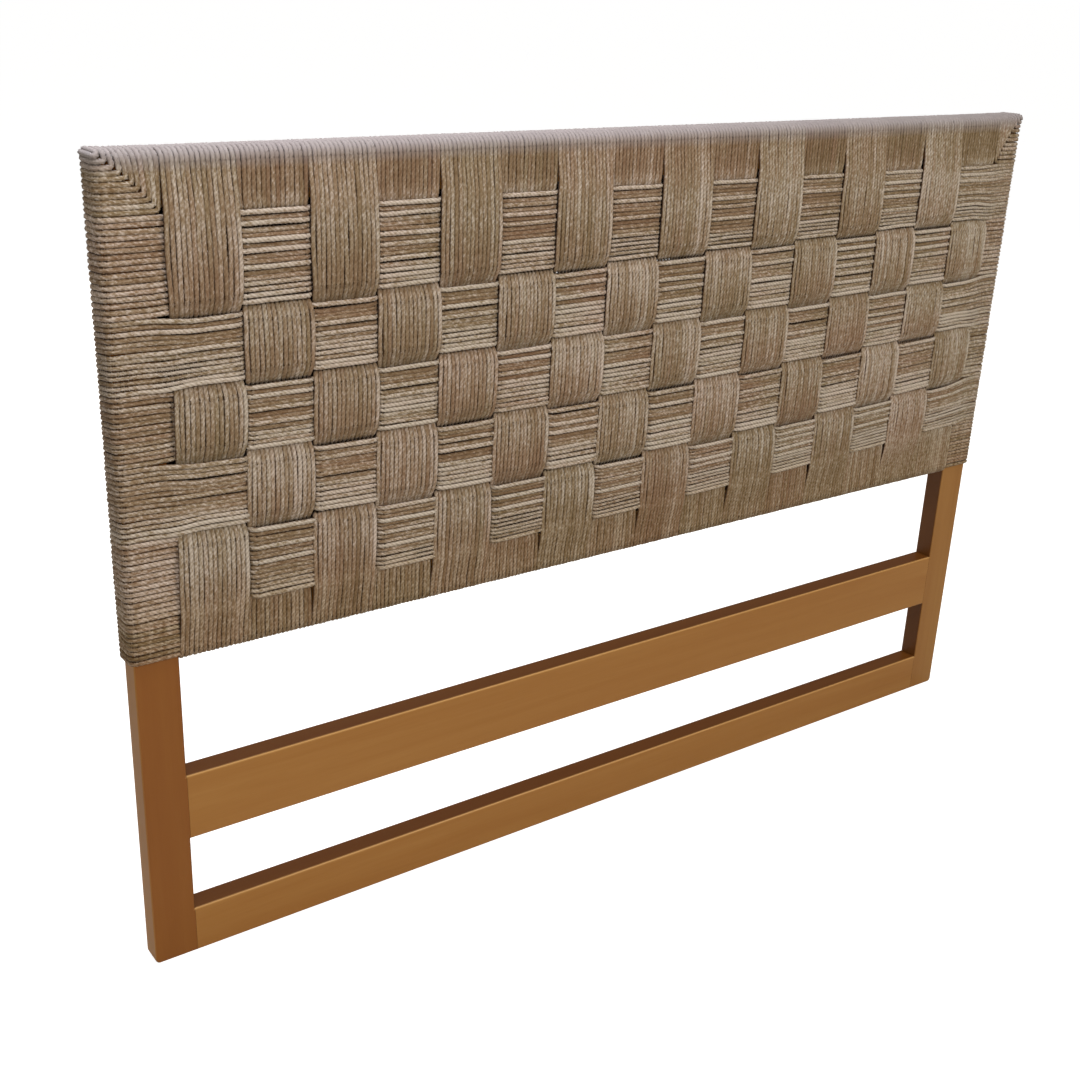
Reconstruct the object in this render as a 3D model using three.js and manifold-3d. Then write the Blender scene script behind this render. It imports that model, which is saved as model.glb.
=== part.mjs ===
// Woven-cord headboard.
// A jointed wooden frame stands on the floor. Its lower half is open, with a wide rail and a bottom rail.
// Its upper half carries a basket weave: upright bands of cord go round the top rail and the hidden weave
// rail, and level bands go round both posts, over and under the upright ones, on the front and the back.
// Millimetres. X runs along the headboard, Y from the front face to the back, Z up from the floor.
import * as THREE from 'three';
import { mergeVertices } from 'three/addons/utils/BufferGeometryUtils.js';
import Module from 'manifold-3d';

// Wooden frame
const frameWidth = 1500;
const frameHeight = 1012;
const frameDepth = 32;
const postWidth = 56;
const bottomRailHeight = 65;
const midRailBottom = 171;
const midRailHeight = 91;
const weaveRailBottom = 430;
const weaveRailHeight = 50;
const topRailHeight = 56;
const cornerRadius = 4;
const arrisRadius = 2.5;
const topEdgeRadius = 7;

// Blind mortise-and-tenon joints
const tenonThickness = 10.6;
const tenonLength = 38;
const tenonShoulder = 9;
const jointClearance = 0.3;
const cutOverrun = 5;

// Cord, and how it lies on the wood and on itself
const cordDiameter = 5.6;
const cordSeat = 0.3;
const crossingClearance = 0.6;
const bandClearance = 0.4;
const edgeTaper = 8;

// Weave
const warpBandCount = 16;
const cordsPerWeftRow = [17, 14, 14, 14, 15];
const rowGap = 7;
const topMargin = 9;
const bottomMargin = 14;
const cornerStrandCount = 11;
const cornerUprightCount = 10;
const lowerStrandCount = 12;
const strandGrooveShare = 0.22;

const woodMaterial = new THREE.MeshStandardMaterial({ color: 0x8f6135, roughness: 0.42, metalness: 0 });
const warpMaterial = new THREE.MeshStandardMaterial({ color: 0x968470, roughness: 0.95, metalness: 0 });
const weftMaterial = new THREE.MeshStandardMaterial({ color: 0xa08f7a, roughness: 0.95, metalness: 0 });

// Places that follow from the sizes above
const halfWidth = frameWidth / 2;
const halfDepth = frameDepth / 2;
const postInner = halfWidth - postWidth;
const topRailBottom = frameHeight - topRailHeight;
const weaveRailTop = weaveRailBottom + weaveRailHeight;
const midRailTop = midRailBottom + midRailHeight;
const cordRadius = cordDiameter / 2;
const woodLevel = cordSeat + cordRadius;
const weaveRise = cordRadius + crossingClearance / 2;
const warpPitch = (2 * postInner) / warpBandCount;
const topInset = halfDepth - topEdgeRadius;
const topArcHeight = frameHeight - topEdgeRadius;

const wasm = await Module();
wasm.setup();

// Steps of a quarter turn round an edge, enough that a cord on it clears the wood
function arcSteps(radius) {
  return Math.ceil(Math.PI / 4 / Math.acos(radius / (radius + cordSeat)));
}

// Turns a closed mesh into a solid that can be cut and joined
function toSolid(geometry) {
  const bare = geometry.clone();
  bare.deleteAttribute('normal');
  bare.deleteAttribute('uv');
  const merged = mergeVertices(bare);
  return new wasm.Manifold(new wasm.Mesh({
    numProp: 3,
    vertProperties: new Float32Array(merged.attributes.position.array),
    triVerts: new Uint32Array(merged.index.array),
  }));
}

// Turns a solid back into a mesh's geometry
function toGeometry(solid) {
  const mesh = solid.getMesh();
  const geometry = new THREE.BufferGeometry();
  geometry.setAttribute('position', new THREE.BufferAttribute(new Float32Array(mesh.vertProperties), 3));
  geometry.setIndex(new THREE.BufferAttribute(new Uint32Array(mesh.triVerts), 1));
  geometry.computeVertexNormals();
  return geometry;
}

// A plain block between two corners
function block(low, high) {
  const size = new THREE.Vector3().subVectors(high, low);
  const centre = new THREE.Vector3().addVectors(low, high).multiplyScalar(0.5);
  const geometry = new THREE.BoxGeometry(size.x, size.y, size.z);
  return geometry.translate(centre.x, centre.y, centre.z);
}

// An upright outline given in X and Z, extruded through the frame from front to back
function throughDepth(shape, settings) {
  const bevel = settings.bevelThickness ?? 0;
  const geometry = new THREE.ExtrudeGeometry(shape, settings);
  geometry.translate(0, 0, bevel);
  geometry.rotateX(Math.PI / 2);
  return geometry.translate(0, settings.depth / 2 + bevel, 0);
}

// The frame's outline as one board, with every outer arris eased
function boardSolid() {
  const x = halfWidth - arrisRadius;
  const low = arrisRadius;
  const high = frameHeight - arrisRadius;
  const round = cornerRadius;
  const outline = new THREE.Shape();
  outline.moveTo(-x + round, low);
  outline.lineTo(x - round, low);
  outline.absarc(x - round, low + round, round, -Math.PI / 2, 0);
  outline.lineTo(x, high - round);
  outline.absarc(x - round, high - round, round, 0, Math.PI / 2);
  outline.lineTo(-x + round, high);
  outline.absarc(-x + round, high - round, round, Math.PI / 2, Math.PI);
  outline.lineTo(-x, low + round);
  outline.absarc(-x + round, low + round, round, Math.PI, Math.PI * 1.5);
  return toSolid(throughDepth(outline, {
    depth: frameDepth - 2 * arrisRadius,
    bevelEnabled: true,
    bevelThickness: arrisRadius,
    bevelSize: arrisRadius,
    bevelSegments: 3,
    curveSegments: 3,
  }));
}

// What is cut off the frame along one top edge to round it, where the cord turns over the top
function topEdgeSolid(side) {
  const face = side * halfDepth;
  const inner = side * (halfDepth - topEdgeRadius);
  const beyond = side * (halfDepth + cutOverrun);
  const low = frameHeight - topEdgeRadius;
  const above = frameHeight + cutOverrun;
  const outline = new THREE.Shape();
  outline.moveTo(beyond, low);
  outline.lineTo(face, low);
  outline.absarc(inner, low, topEdgeRadius, side > 0 ? 0 : Math.PI, Math.PI / 2, side < 0);
  outline.lineTo(inner, above);
  outline.lineTo(beyond, above);
  outline.closePath();
  const length = frameWidth + 2 * cutOverrun;
  const geometry = new THREE.ExtrudeGeometry(outline, {
    depth: length,
    bevelEnabled: false,
    curveSegments: arcSteps(topEdgeRadius),
  });
  geometry.translate(0, 0, -length / 2);
  geometry.rotateX(Math.PI / 2);
  geometry.rotateZ(Math.PI / 2);
  return toSolid(geometry);
}

// The space between two rails, flared at both faces so that the arrises round it are eased too
function openingSolid(low, high) {
  const outline = new THREE.Shape();
  outline.moveTo(-postInner, low);
  outline.lineTo(postInner, low);
  outline.lineTo(postInner, high);
  outline.lineTo(-postInner, high);
  outline.closePath();
  return toSolid(throughDepth(outline, {
    depth: frameDepth - 2 * arrisRadius,
    bevelEnabled: true,
    bevelThickness: arrisRadius,
    bevelSize: -arrisRadius,
    bevelOffset: arrisRadius,
    bevelSegments: 3,
    curveSegments: 1,
  }));
}

// A tenon, or with its clearance the mortise for it, at one end of the rail between low and high
function tenonBlock(side, low, high, clearance) {
  const inner = side * (postInner - cutOverrun);
  const outer = side * (postInner + tenonLength + clearance);
  const halfThickness = tenonThickness / 2 + clearance;
  return toSolid(block(
    new THREE.Vector3(Math.min(inner, outer), -halfThickness, low + tenonShoulder - clearance),
    new THREE.Vector3(Math.max(inner, outer), halfThickness, high - tenonShoulder + clearance),
  ));
}

const rails = [
  { name: 'bottom_rail', low: 0, high: bottomRailHeight },
  { name: 'mid_rail', low: midRailBottom, high: midRailTop },
  { name: 'weave_rail', low: weaveRailBottom, high: weaveRailTop },
  { name: 'top_rail', low: topRailBottom, high: frameHeight },
];

// The frame before it is parted into posts and rails
let frameSolid = boardSolid().subtract(topEdgeSolid(-1)).subtract(topEdgeSolid(1));
rails.slice(1).forEach((rail, index) => {
  frameSolid = frameSolid.subtract(openingSolid(rails[index].high, rail.low));
});

function railGeometry(rail) {
  const end = postInner - jointClearance;
  const reach = frameDepth;
  const low = rail.low === 0 ? -cutOverrun : rail.low - arrisRadius;
  const high = rail.high + arrisRadius;
  const body = frameSolid.intersect(toSolid(block(
    new THREE.Vector3(-end, -reach, low),
    new THREE.Vector3(end, reach, high),
  )));
  return toGeometry([-1, 1].reduce(
    (solid, side) => solid.add(tenonBlock(side, rail.low, rail.high, 0)),
    body,
  ));
}

// The left post. Turned half round, it is the right one
function postGeometry() {
  const body = frameSolid.intersect(toSolid(block(
    new THREE.Vector3(-halfWidth - cutOverrun, -frameDepth, -cutOverrun),
    new THREE.Vector3(-postInner, frameDepth, frameHeight + cutOverrun),
  )));
  return toGeometry(rails.reduce(
    (solid, rail) => solid.subtract(tenonBlock(-1, rail.low, rail.high, jointClearance)),
    body,
  ));
}

// Joins rings of points into one closed surface. Without an end outline the last ring meets the first.
// With one, which has a point for each point of a ring, both ends are closed by it.
function loftGeometry(rings, endOutline = null) {
  const ringSize = rings[0].length;
  const indices = [];
  const spans = endOutline ? rings.length - 1 : rings.length;
  for (let i = 0; i < spans; i += 1) {
    const here = i * ringSize;
    const next = ((i + 1) % rings.length) * ringSize;
    for (let k = 0; k < ringSize; k += 1) {
      const after = (k + 1) % ringSize;
      indices.push(here + k, next + k, here + after);
      indices.push(here + after, next + k, next + after);
    }
  }
  if (endOutline) {
    const endRing = (rings.length - 1) * ringSize;
    THREE.ShapeUtils.triangulateShape(endOutline, []).forEach(([a, b, c]) => {
      indices.push(a, c, b);
      indices.push(endRing + a, endRing + b, endRing + c);
    });
  }
  const geometry = new THREE.BufferGeometry();
  const positions = rings.flat().flatMap((point) => [point.x, point.y, point.z]);
  geometry.setAttribute('position', new THREE.Float32BufferAttribute(positions, 3));
  geometry.setIndex(indices);
  geometry.computeVertexNormals();
  return geometry;
}

// The steps of a quarter turn round an arris. The angle is that of the outward direction
function arrisStations(centreU, centreV, fromAngle, radius = arrisRadius) {
  const reach = radius + woodLevel;
  const steps = arcSteps(radius);
  const stations = [];
  for (let step = 0; step <= steps; step += 1) {
    const angle = fromAngle + (step / steps) * (Math.PI / 2);
    const outU = Math.cos(angle);
    const outV = Math.sin(angle);
    stations.push({ u: centreU + reach * outU, v: centreV + reach * outV, outU, outV });
  }
  return stations;
}

// A flat band's section: full thickness in its middle, thinning to its two edges.
// toPoint turns a place along the loop (u, v) and across it (w) into a point of the part.
function bandRing(station, low, high, taper, toPoint) {
  const at = (across, rise) => toPoint(
    station.u + rise * station.outU,
    station.v + rise * station.outV,
    across,
  );
  return [
    at(low, 0),
    at(low + taper, cordRadius),
    at(high - taper, cordRadius),
    at(high, 0),
    at(high - taper, -cordRadius),
    at(low + taper, -cordRadius),
  ];
}

// Rows of the weave from the top down. Each row's height follows its number of cords
const weaveHeight = topRailBottom - topMargin - (weaveRailTop + bottomMargin);
const rowCount = cordsPerWeftRow.length;
const cordsInAll = cordsPerWeftRow.reduce((sum, cords) => sum + cords, 0);
const weftSpacing = (weaveHeight - (rowCount - 1) * rowGap) / cordsInAll;
const rows = [];
let rowTop = topRailBottom - topMargin;
cordsPerWeftRow.forEach((cords) => {
  const height = cords * weftSpacing;
  rows.push({ high: rowTop, low: rowTop - height });
  rowTop -= height + rowGap;
});
const wrapsLow = weaveRailBottom - cordSeat - cordDiameter;

function isWarpOver(column, row) {
  return (column + row) % 2 === 0;
}

// One face of a warp band, from the top rail down to the weave rail, as level above the wood's face
function warpFaceStations(column) {
  const stations = [];
  rows.forEach((row, index) => {
    const level = woodLevel + (isWarpOver(column, index) ? weaveRise : -weaveRise);
    stations.push({ z: row.high - edgeTaper, level, woven: true });
    stations.push({ z: row.low + edgeTaper, level, woven: true });
  });
  return [
    { z: topRailBottom, level: woodLevel, woven: false },
    ...stations,
    { z: weaveRailTop, level: woodLevel, woven: false },
  ];
}

// A warp band: down the front, under the weave rail, up the back and over the top rail
function warpGeometry(column) {
  const low = -postInner + column * warpPitch + bandClearance / 2;
  const high = low + warpPitch - bandClearance;
  const face = warpFaceStations(column);
  const nearFace = halfDepth - arrisRadius;
  const stations = [
    ...face.map((s) => ({ u: -halfDepth - s.level, v: s.z, outU: -1, outV: 0, woven: s.woven })),
    ...arrisStations(-nearFace, weaveRailBottom + arrisRadius, Math.PI),
    ...arrisStations(nearFace, weaveRailBottom + arrisRadius, Math.PI * 1.5),
    ...face.map((s) => ({ u: halfDepth + s.level, v: s.z, outU: 1, outV: 0, woven: s.woven })).reverse(),
    ...arrisStations(topInset, topArcHeight, 0, topEdgeRadius),
    ...arrisStations(-topInset, topArcHeight, Math.PI / 2, topEdgeRadius),
  ];
  const rings = stations.map((station) => bandRing(
    station,
    low,
    high,
    station.woven ? edgeTaper : cordRadius,
    (y, z, x) => new THREE.Vector3(x, y, z),
  ));
  return loftGeometry(rings);
}

// One face of a weft band, from the left post to the right one
function weftFaceStations(row) {
  const stations = [];
  for (let column = 0; column < warpBandCount; column += 1) {
    const left = -postInner + column * warpPitch;
    const level = woodLevel + (isWarpOver(column, row) ? -weaveRise : weaveRise);
    stations.push({ x: left + edgeTaper, level, woven: true });
    stations.push({ x: left + warpPitch - edgeTaper, level, woven: true });
  }
  return [
    { x: -postInner, level: woodLevel, woven: true },
    ...stations,
    { x: postInner, level: woodLevel, woven: true },
  ];
}

// A weft band: across the front, round the right post, back along the back and round the left post.
// Across each post it fans out until it closes the gap to the next row.
function weftGeometry(index) {
  const row = rows[index];
  const spread = (rowGap - bandClearance) / 2;
  const face = weftFaceStations(index);
  const nearFace = halfDepth - arrisRadius;
  const nearSide = halfWidth - arrisRadius;
  const stations = [
    ...face.map((s) => ({ u: s.x, v: -halfDepth - s.level, outU: 0, outV: -1, woven: s.woven })),
    ...arrisStations(nearSide, -nearFace, -Math.PI / 2),
    ...arrisStations(nearSide, nearFace, 0),
    ...face.map((s) => ({ u: s.x, v: halfDepth + s.level, outU: 0, outV: 1, woven: s.woven })).reverse(),
    ...arrisStations(-nearSide, nearFace, Math.PI / 2),
    ...arrisStations(-nearSide, -nearFace, Math.PI),
  ];
  const rings = stations.map((station) => bandRing(
    station,
    station.woven ? row.low : row.low - spread,
    station.woven ? row.high : row.high + spread,
    station.woven ? edgeTaper : cordRadius,
    (x, y, z) => new THREE.Vector3(x, y, z),
  ));
  return loftGeometry(rings);
}

// A wrap of side-by-side strands over three sides of the frame, ribbed outside and flat against the wood
function strandWrapGeometry(stations, low, high, strandCount, toPoint) {
  const pitch = (high - low) / strandCount;
  const grooveRise = cordRadius - cordDiameter * strandGrooveShare;
  const section = [
    new THREE.Vector2(high, -cordRadius),
    new THREE.Vector2(low, -cordRadius),
    new THREE.Vector2(low, grooveRise),
  ];
  for (let strand = 0; strand < strandCount; strand += 1) {
    const start = low + strand * pitch;
    section.push(new THREE.Vector2(start + pitch / 2, cordRadius));
    section.push(new THREE.Vector2(start + pitch, grooveRise));
  }
  const rings = stations.map((station) => section.map((spot) => toPoint(
    station.u + spot.y * station.outU,
    station.v + spot.y * station.outV,
    spot.x,
  )));
  return loftGeometry(rings, section);
}

// The stations of a wrap that starts on the back of the left post, rounds its side and ends on the front
function sideWrapStations(innerEnd) {
  const nearFace = halfDepth - arrisRadius;
  const nearSide = halfWidth - arrisRadius;
  return [
    { u: innerEnd, v: halfDepth + woodLevel, outU: 0, outV: 1 },
    ...arrisStations(-nearSide, nearFace, Math.PI / 2),
    ...arrisStations(-nearSide, -nearFace, Math.PI),
    { u: innerEnd, v: -halfDepth - woodLevel, outU: 0, outV: -1 },
  ];
}

// The stations of a wrap that starts on the back, goes over the top and ends on the front
function topWrapStations(lowEnd) {
  return [
    { u: halfDepth + woodLevel, v: lowEnd, outU: 1, outV: 0 },
    ...arrisStations(topInset, topArcHeight, 0, topEdgeRadius),
    ...arrisStations(-topInset, topArcHeight, Math.PI / 2, topEdgeRadius),
    { u: -halfDepth - woodLevel, v: lowEnd, outU: -1, outV: 0 },
  ];
}

// The corner's two wraps meet on a mitre that runs from the weave's first row up to the outer corner
const wrapEdge = -postInner - bandClearance / 2;
const cornerLow = rows[0].high + rowGap / 2 + bandClearance / 2;
const cornerReach = woodLevel + cordRadius;
const mitreInner = new THREE.Vector2(wrapEdge, cornerLow);
const mitreOuter = new THREE.Vector2(-halfWidth - cornerReach, frameHeight + cornerReach);

// Everything on one side of the mitre, set back from it by half the clearance
function mitreSolid(side) {
  const along = new THREE.Vector2().subVectors(mitreOuter, mitreInner).normalize();
  const across = new THREE.Vector2(-along.y, along.x).multiplyScalar(side);
  const reach = postWidth + topRailHeight;
  const setBack = across.clone().multiplyScalar(bandClearance / 2);
  const start = mitreInner.clone().addScaledVector(along, -reach).add(setBack);
  const end = mitreOuter.clone().addScaledVector(along, reach).add(setBack);
  const away = across.clone().multiplyScalar(reach * 2);
  const corners = [start, end, end.clone().add(away), start.clone().add(away)];
  const outline = new THREE.Shape(side > 0 ? corners : corners.reverse());
  return toSolid(throughDepth(outline, { depth: frameDepth * 2, bevelEnabled: false }));
}

function cornerSideGeometry() {
  const wrap = strandWrapGeometry(
    sideWrapStations(wrapEdge),
    cornerLow,
    frameHeight,
    cornerStrandCount,
    (x, y, z) => new THREE.Vector3(x, y, z),
  );
  return toGeometry(toSolid(wrap).intersect(mitreSolid(1)));
}

function cornerTopGeometry() {
  const wrap = strandWrapGeometry(
    topWrapStations(cornerLow),
    -halfWidth,
    wrapEdge,
    cornerUprightCount,
    (y, z, x) => new THREE.Vector3(x, y, z),
  );
  return toGeometry(toSolid(wrap).intersect(mitreSolid(-1)));
}

function lowerWrapGeometry() {
  return strandWrapGeometry(
    sideWrapStations(wrapEdge),
    wrapsLow,
    rows[rowCount - 1].low - rowGap / 2 - bandClearance / 2,
    lowerStrandCount,
    (x, y, z) => new THREE.Vector3(x, y, z),
  );
}

const headboard = new THREE.Group();

function place(name, geometry, material, isTurned = false) {
  const mesh = new THREE.Mesh(geometry, material);
  mesh.name = name;
  mesh.rotation.z = isTurned ? Math.PI : 0;
  headboard.add(mesh);
}

const post = postGeometry();
place('left_post', post, woodMaterial);
place('right_post', post, woodMaterial, true);
rails.forEach((rail) => place(rail.name, railGeometry(rail), woodMaterial));

for (let column = 0; column < warpBandCount; column += 1) {
  const number = String(column + 1).padStart(2, '0');
  place(`warp_${number}`, warpGeometry(column), warpMaterial);
}
rows.forEach((row, index) => place(`weft_${index + 1}`, weftGeometry(index), weftMaterial));

const cornerSide = cornerSideGeometry();
const cornerTop = cornerTopGeometry();
const lowerWrap = lowerWrapGeometry();
place('left_corner_side_wrap', cornerSide, weftMaterial);
place('right_corner_side_wrap', cornerSide, weftMaterial, true);
place('left_corner_top_wrap', cornerTop, warpMaterial);
place('right_corner_top_wrap', cornerTop, warpMaterial, true);
place('left_lower_wrap', lowerWrap, weftMaterial);
place('right_lower_wrap', lowerWrap, weftMaterial, true);

export default headboard;
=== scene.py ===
import math

import bpy
import numpy as np
from mathutils import Matrix, Vector


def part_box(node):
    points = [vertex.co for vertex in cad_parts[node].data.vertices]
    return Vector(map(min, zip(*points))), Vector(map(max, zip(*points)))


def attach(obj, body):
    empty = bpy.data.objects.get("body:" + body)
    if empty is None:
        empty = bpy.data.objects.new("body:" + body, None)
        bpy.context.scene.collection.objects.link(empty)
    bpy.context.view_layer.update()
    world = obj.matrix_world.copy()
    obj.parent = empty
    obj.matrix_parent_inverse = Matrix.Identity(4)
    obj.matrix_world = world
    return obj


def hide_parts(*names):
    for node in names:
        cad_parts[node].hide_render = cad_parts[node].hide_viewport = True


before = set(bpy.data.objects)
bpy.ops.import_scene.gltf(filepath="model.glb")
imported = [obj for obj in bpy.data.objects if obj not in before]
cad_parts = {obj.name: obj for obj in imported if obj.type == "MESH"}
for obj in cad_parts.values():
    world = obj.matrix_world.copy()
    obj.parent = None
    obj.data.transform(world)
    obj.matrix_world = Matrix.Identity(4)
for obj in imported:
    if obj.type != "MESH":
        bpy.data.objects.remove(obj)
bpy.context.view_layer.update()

mm = 0.001


# Camera, at the photograph's viewing angle
view = {
    "eye": (-1.2532, -1.4883, 1.2095),
    "aim": (-0.1663, -0.0160, 0.4702),
    "roll": 2.37,  # degrees
    "lens": 47.43,  # mm
    "sensor": 36,  # mm wide
    "reach": 100,  # m that it sees
}


def placeCamera(spec):
    camera = bpy.data.objects.new("camera", bpy.data.cameras.new("camera"))
    bpy.context.scene.collection.objects.link(camera)
    camera.data.sensor_width = spec["sensor"]
    camera.data.lens = spec["lens"]
    camera.data.clip_end = spec["reach"]
    sight = Vector(spec["aim"]) - Vector(spec["eye"])
    turned = sight.to_track_quat("-Z", "Y").to_matrix().to_4x4()
    roll = Matrix.Rotation(math.radians(spec["roll"]), 4, "Z")
    camera.matrix_world = Matrix.Translation(spec["eye"]) @ turned @ roll
    bpy.context.scene.camera = camera


placeCamera(view)
print("camera placed")


# Small helpers for materials
def colour(hexText):
    channels = [int(hexText[i : i + 2], 16) / 255 for i in (1, 3, 5)]
    linear = [c / 12.92 if c <= 0.04045 else ((c + 0.055) / 1.055) ** 2.4 for c in channels]
    return (*linear, 1.0)


def newMaterial(name):
    material = bpy.data.materials.new(name)
    material.use_nodes = True
    material.node_tree.nodes.clear()
    return material


def addNode(material, kind, settings=None, links=None):
    tree = material.node_tree
    node = tree.nodes.new(kind)
    for key, value in (settings or {}).items():
        if isinstance(key, str) and hasattr(node, key):
            setattr(node, key, value)
        else:
            node.inputs[key].default_value = value
    for key, source in (links or {}).items():
        tree.links.new(source, node.inputs[key])
    return node


# Sizes read off the frame
postLow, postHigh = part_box("left_post")
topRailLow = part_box("top_rail")[0]
weaveRailLow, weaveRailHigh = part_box("weave_rail")
postOuter = -postLow.x
postInner = -postHigh.x
woodFace = -postLow.y
woodTop = postHigh.z

# The cord, three plies of jute laid together
cord = {
    "radius": 3.2 * mm,  # over the crowns of the plies, so that neighbours press into each other
    "groove": 0.87,  # reach of the groove between two plies, as a share of the radius
    "plies": 3,
    "lay": 18 * mm,  # length of one full twist
    "shownStep": 2.6 * mm,  # ring spacing where the cord shows
    "hiddenStep": 9 * mm,  # and where another band covers it
    "onWood": 3.1 * mm,  # cord's middle above the wood
    "bend": 4 * mm,  # rounding of the wood that it bends round
    "topBend": 8 * mm,  # and of the top rail's upper edges
    "bendShare": 0.49,  # most that a bend takes of the straight part beside it
    "bendPoints": 6,  # rings of a bend, with both its ends
    "edgePoints": 6,  # across half the wood's depth
    "topPoints": 7,  # and across the top
}

# How far out a cord's middle runs on the wood, and how it bends there
cordDepth = woodFace + cord["onWood"]
cordSide = postOuter + cord["onWood"]
cordTop = woodTop + cord["onWood"]
cordArris = cord["bend"] + cord["onWood"]
cordTopArris = cord["topBend"] + cord["onWood"]

# The basket weave: upright bands of cord over and under level rows
weave = {
    "bands": 16,
    "cordsPerBand": 15,
    "cordsPerRow": (17, 14, 14, 14, 15),
    "topMargin": 9 * mm,
    "bottomMargin": 14 * mm,
    "rowGap": 7 * mm,
    "leftGap": 10 * mm,  # from the left post's inner edge to the first band
    "rightGap": -4 * mm,  # and from the last one to the right post's, which it overlaps
    "backAside": -7 * mm,  # how far the back's crossings lie to the right of the front's
    "backBelow": 4 * mm,  # and how far below them
    "over": 8.6 * mm,  # a cord's middle above the wood's plane
    "under": 1.7 * mm,
    "foot": 330 * mm,  # height over which the lower ends move over
    "warpTurn": 22 * mm,  # height in which an upright cord passes from over to under
    "warpInside": 5 * mm,  # how far inside the stretch that passes over it does so
    "weftTurn": 9 * mm,  # width in which a level cord does
    "weftRise": 0.6 * mm,  # how far inside the left side of the band that it passes over it rises
    "weftDip": 2.8 * mm,  # and how far inside the right side it dips
}

# How far the lines between rows stand off level at the left post, mid-width and the right post, mm
rowDrift = ((3, 1, -4), (-6, 2, 9), (-3, -3, 5), (1, -6, 7), (-1, -12, 4), (-10, -5, 16))
driftReach = 0.94 * postInner  # how far from mid-width the outer two hold

bandEdges = np.linspace(-postInner + weave["leftGap"], postInner - weave["rightGap"], weave["bands"] + 1)
bandWidth = bandEdges[1] - bandEdges[0]
footWidth = 2 * postInner / weave["bands"]
rowCount = len(weave["cordsPerRow"])
cordCounts = np.array(weave["cordsPerRow"])
cordsAbove = np.concatenate([[0], np.cumsum(cordCounts)])
panelTop = topRailLow.z - weave["topMargin"]
panelLow = weaveRailHigh.z + weave["bottomMargin"]
rowSpacing = (panelTop - panelLow - (rowCount - 1) * weave["rowGap"]) / cordCounts.sum()
rowLines = panelTop - rowSpacing * cordsAbove - weave["rowGap"] * (np.arange(rowCount + 1) - 0.5)
rowLines[0] = panelTop
rowLines[-1] = panelLow


def isWarpOver(band, row):
    return (band + row) % 2 == 0


def lineHeight(line, x):
    # height at x of the line between two rows, which drifts smoothly across the panel
    left, middle, right = (mm * drift for drift in rowDrift[line])
    t = np.clip(x, -postInner, postInner) / driftReach
    return rowLines[line] + middle + t * (right - left) / 2 + t * t * ((left + right) / 2 - middle)


def sideAt(edge, z):
    # place of a band's side at height z: it moves over to its even place towards the lower end
    footShare = 1 - np.clip((z - weaveRailLow.z) / weave["foot"], 0, 1)
    return bandEdges[edge] + footShare * (edge * footWidth - postInner - bandEdges[edge])


def smooth(t):
    t = np.clip(t, 0, 1)
    return t * t * (3 - 2 * t)


def acrossCells(values, edges, places, widths):
    # values (cord, cell) read along the places, turning over within a width where two cells meet
    result = values[:, :1] + 0 * places
    for cell, (edge, width) in enumerate(zip(edges, np.broadcast_to(widths, len(edges)))):
        step = values[:, cell + 1 : cell + 2] - values[:, cell : cell + 1]
        result = result + step * smooth((places - edge) / width + 0.5)
    return result


def wander(chance, count, travel, gap):
    # slow random drift of each of count cords along its travel
    knots = int(travel[-1] / gap) + 3
    values = chance.normal(0, 1, (count, knots))
    at = travel / gap
    first = np.clip(at.astype(int), 0, knots - 2)
    blend = smooth(at - first)
    return values[:, first] * (1 - blend) + values[:, first + 1] * blend


def backShare(y):
    # 0 on the front of the wood, 1 on its back
    return smooth((y + woodFace) / (2 * woodFace))


def levelsAcross(isOver):
    # how high a cord's middle lies, on the wood at either end, and over or under in the cells between
    between = [weave["over" if over else "under"] for over in isOver]
    return np.array([[cord["onWood"], *between, cord["onWood"]]])


def unit(vectors):
    return vectors / np.maximum(np.linalg.norm(vectors, axis=-1, keepdims=True), 1e-12)


def lengthsAlong(points):
    steps = np.linalg.norm(np.diff(points, axis=0), axis=1)
    return np.concatenate([[0], np.cumsum(steps)])


def stepsAlong(low, high, isShown):
    # ring places from low to high, close together where the cord shows
    places = [low]
    while places[-1] < high:
        at = places[-1]
        near = isShown(at) or isShown(at + cord["hiddenStep"])
        places.append(at + cord["shownStep" if near else "hiddenStep"])
    places = np.array(places)
    return low + (places - low) * (high - low) / (places[-1] - low)


# The parts of a turn round the frame, in order
lowStart, alongFront, highEdge, alongBack, lowEnd = range(5)


# One turn round the flat frame, seen along its edge: place along the face and in depth, the way
# outwards there, and the part of the turn
def turnRound(faceSteps, low, high, highBend):
    arc = np.linspace(0, math.pi / 2, cord["bendPoints"])[1:-1]
    short, long = 1 - np.cos(arc), 1 - np.sin(arc)
    bend = cord["bend"]
    edge = np.linspace(0, woodFace - bend, cord["edgePoints"])
    far = np.linspace(highBend - woodFace, woodFace - highBend, cord["topPoints"])
    pieces = (
        (low, -edge, -1, 0, lowStart),
        (low + bend * short, bend * long - woodFace, -np.cos(arc), -np.sin(arc), lowStart),
        (faceSteps, -woodFace, 0, -1, alongFront),
        (high - highBend * long, highBend * short - woodFace, np.sin(arc), -np.cos(arc), highEdge),
        (high, far, 1, 0, highEdge),
        (high - highBend * short, woodFace - highBend * long, np.cos(arc), np.sin(arc), highEdge),
        (faceSteps[::-1], woodFace, 0, 1, alongBack),
        (low + bend * long, woodFace - bend * short, -np.sin(arc), np.cos(arc), lowEnd),
        (low, edge[:0:-1], -1, 0, lowEnd),
    )
    columns = [np.stack(np.broadcast_arrays(*(np.asarray(x, float) for x in piece))) for piece in pieces]
    return np.concatenate(columns, axis=1)


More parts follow.
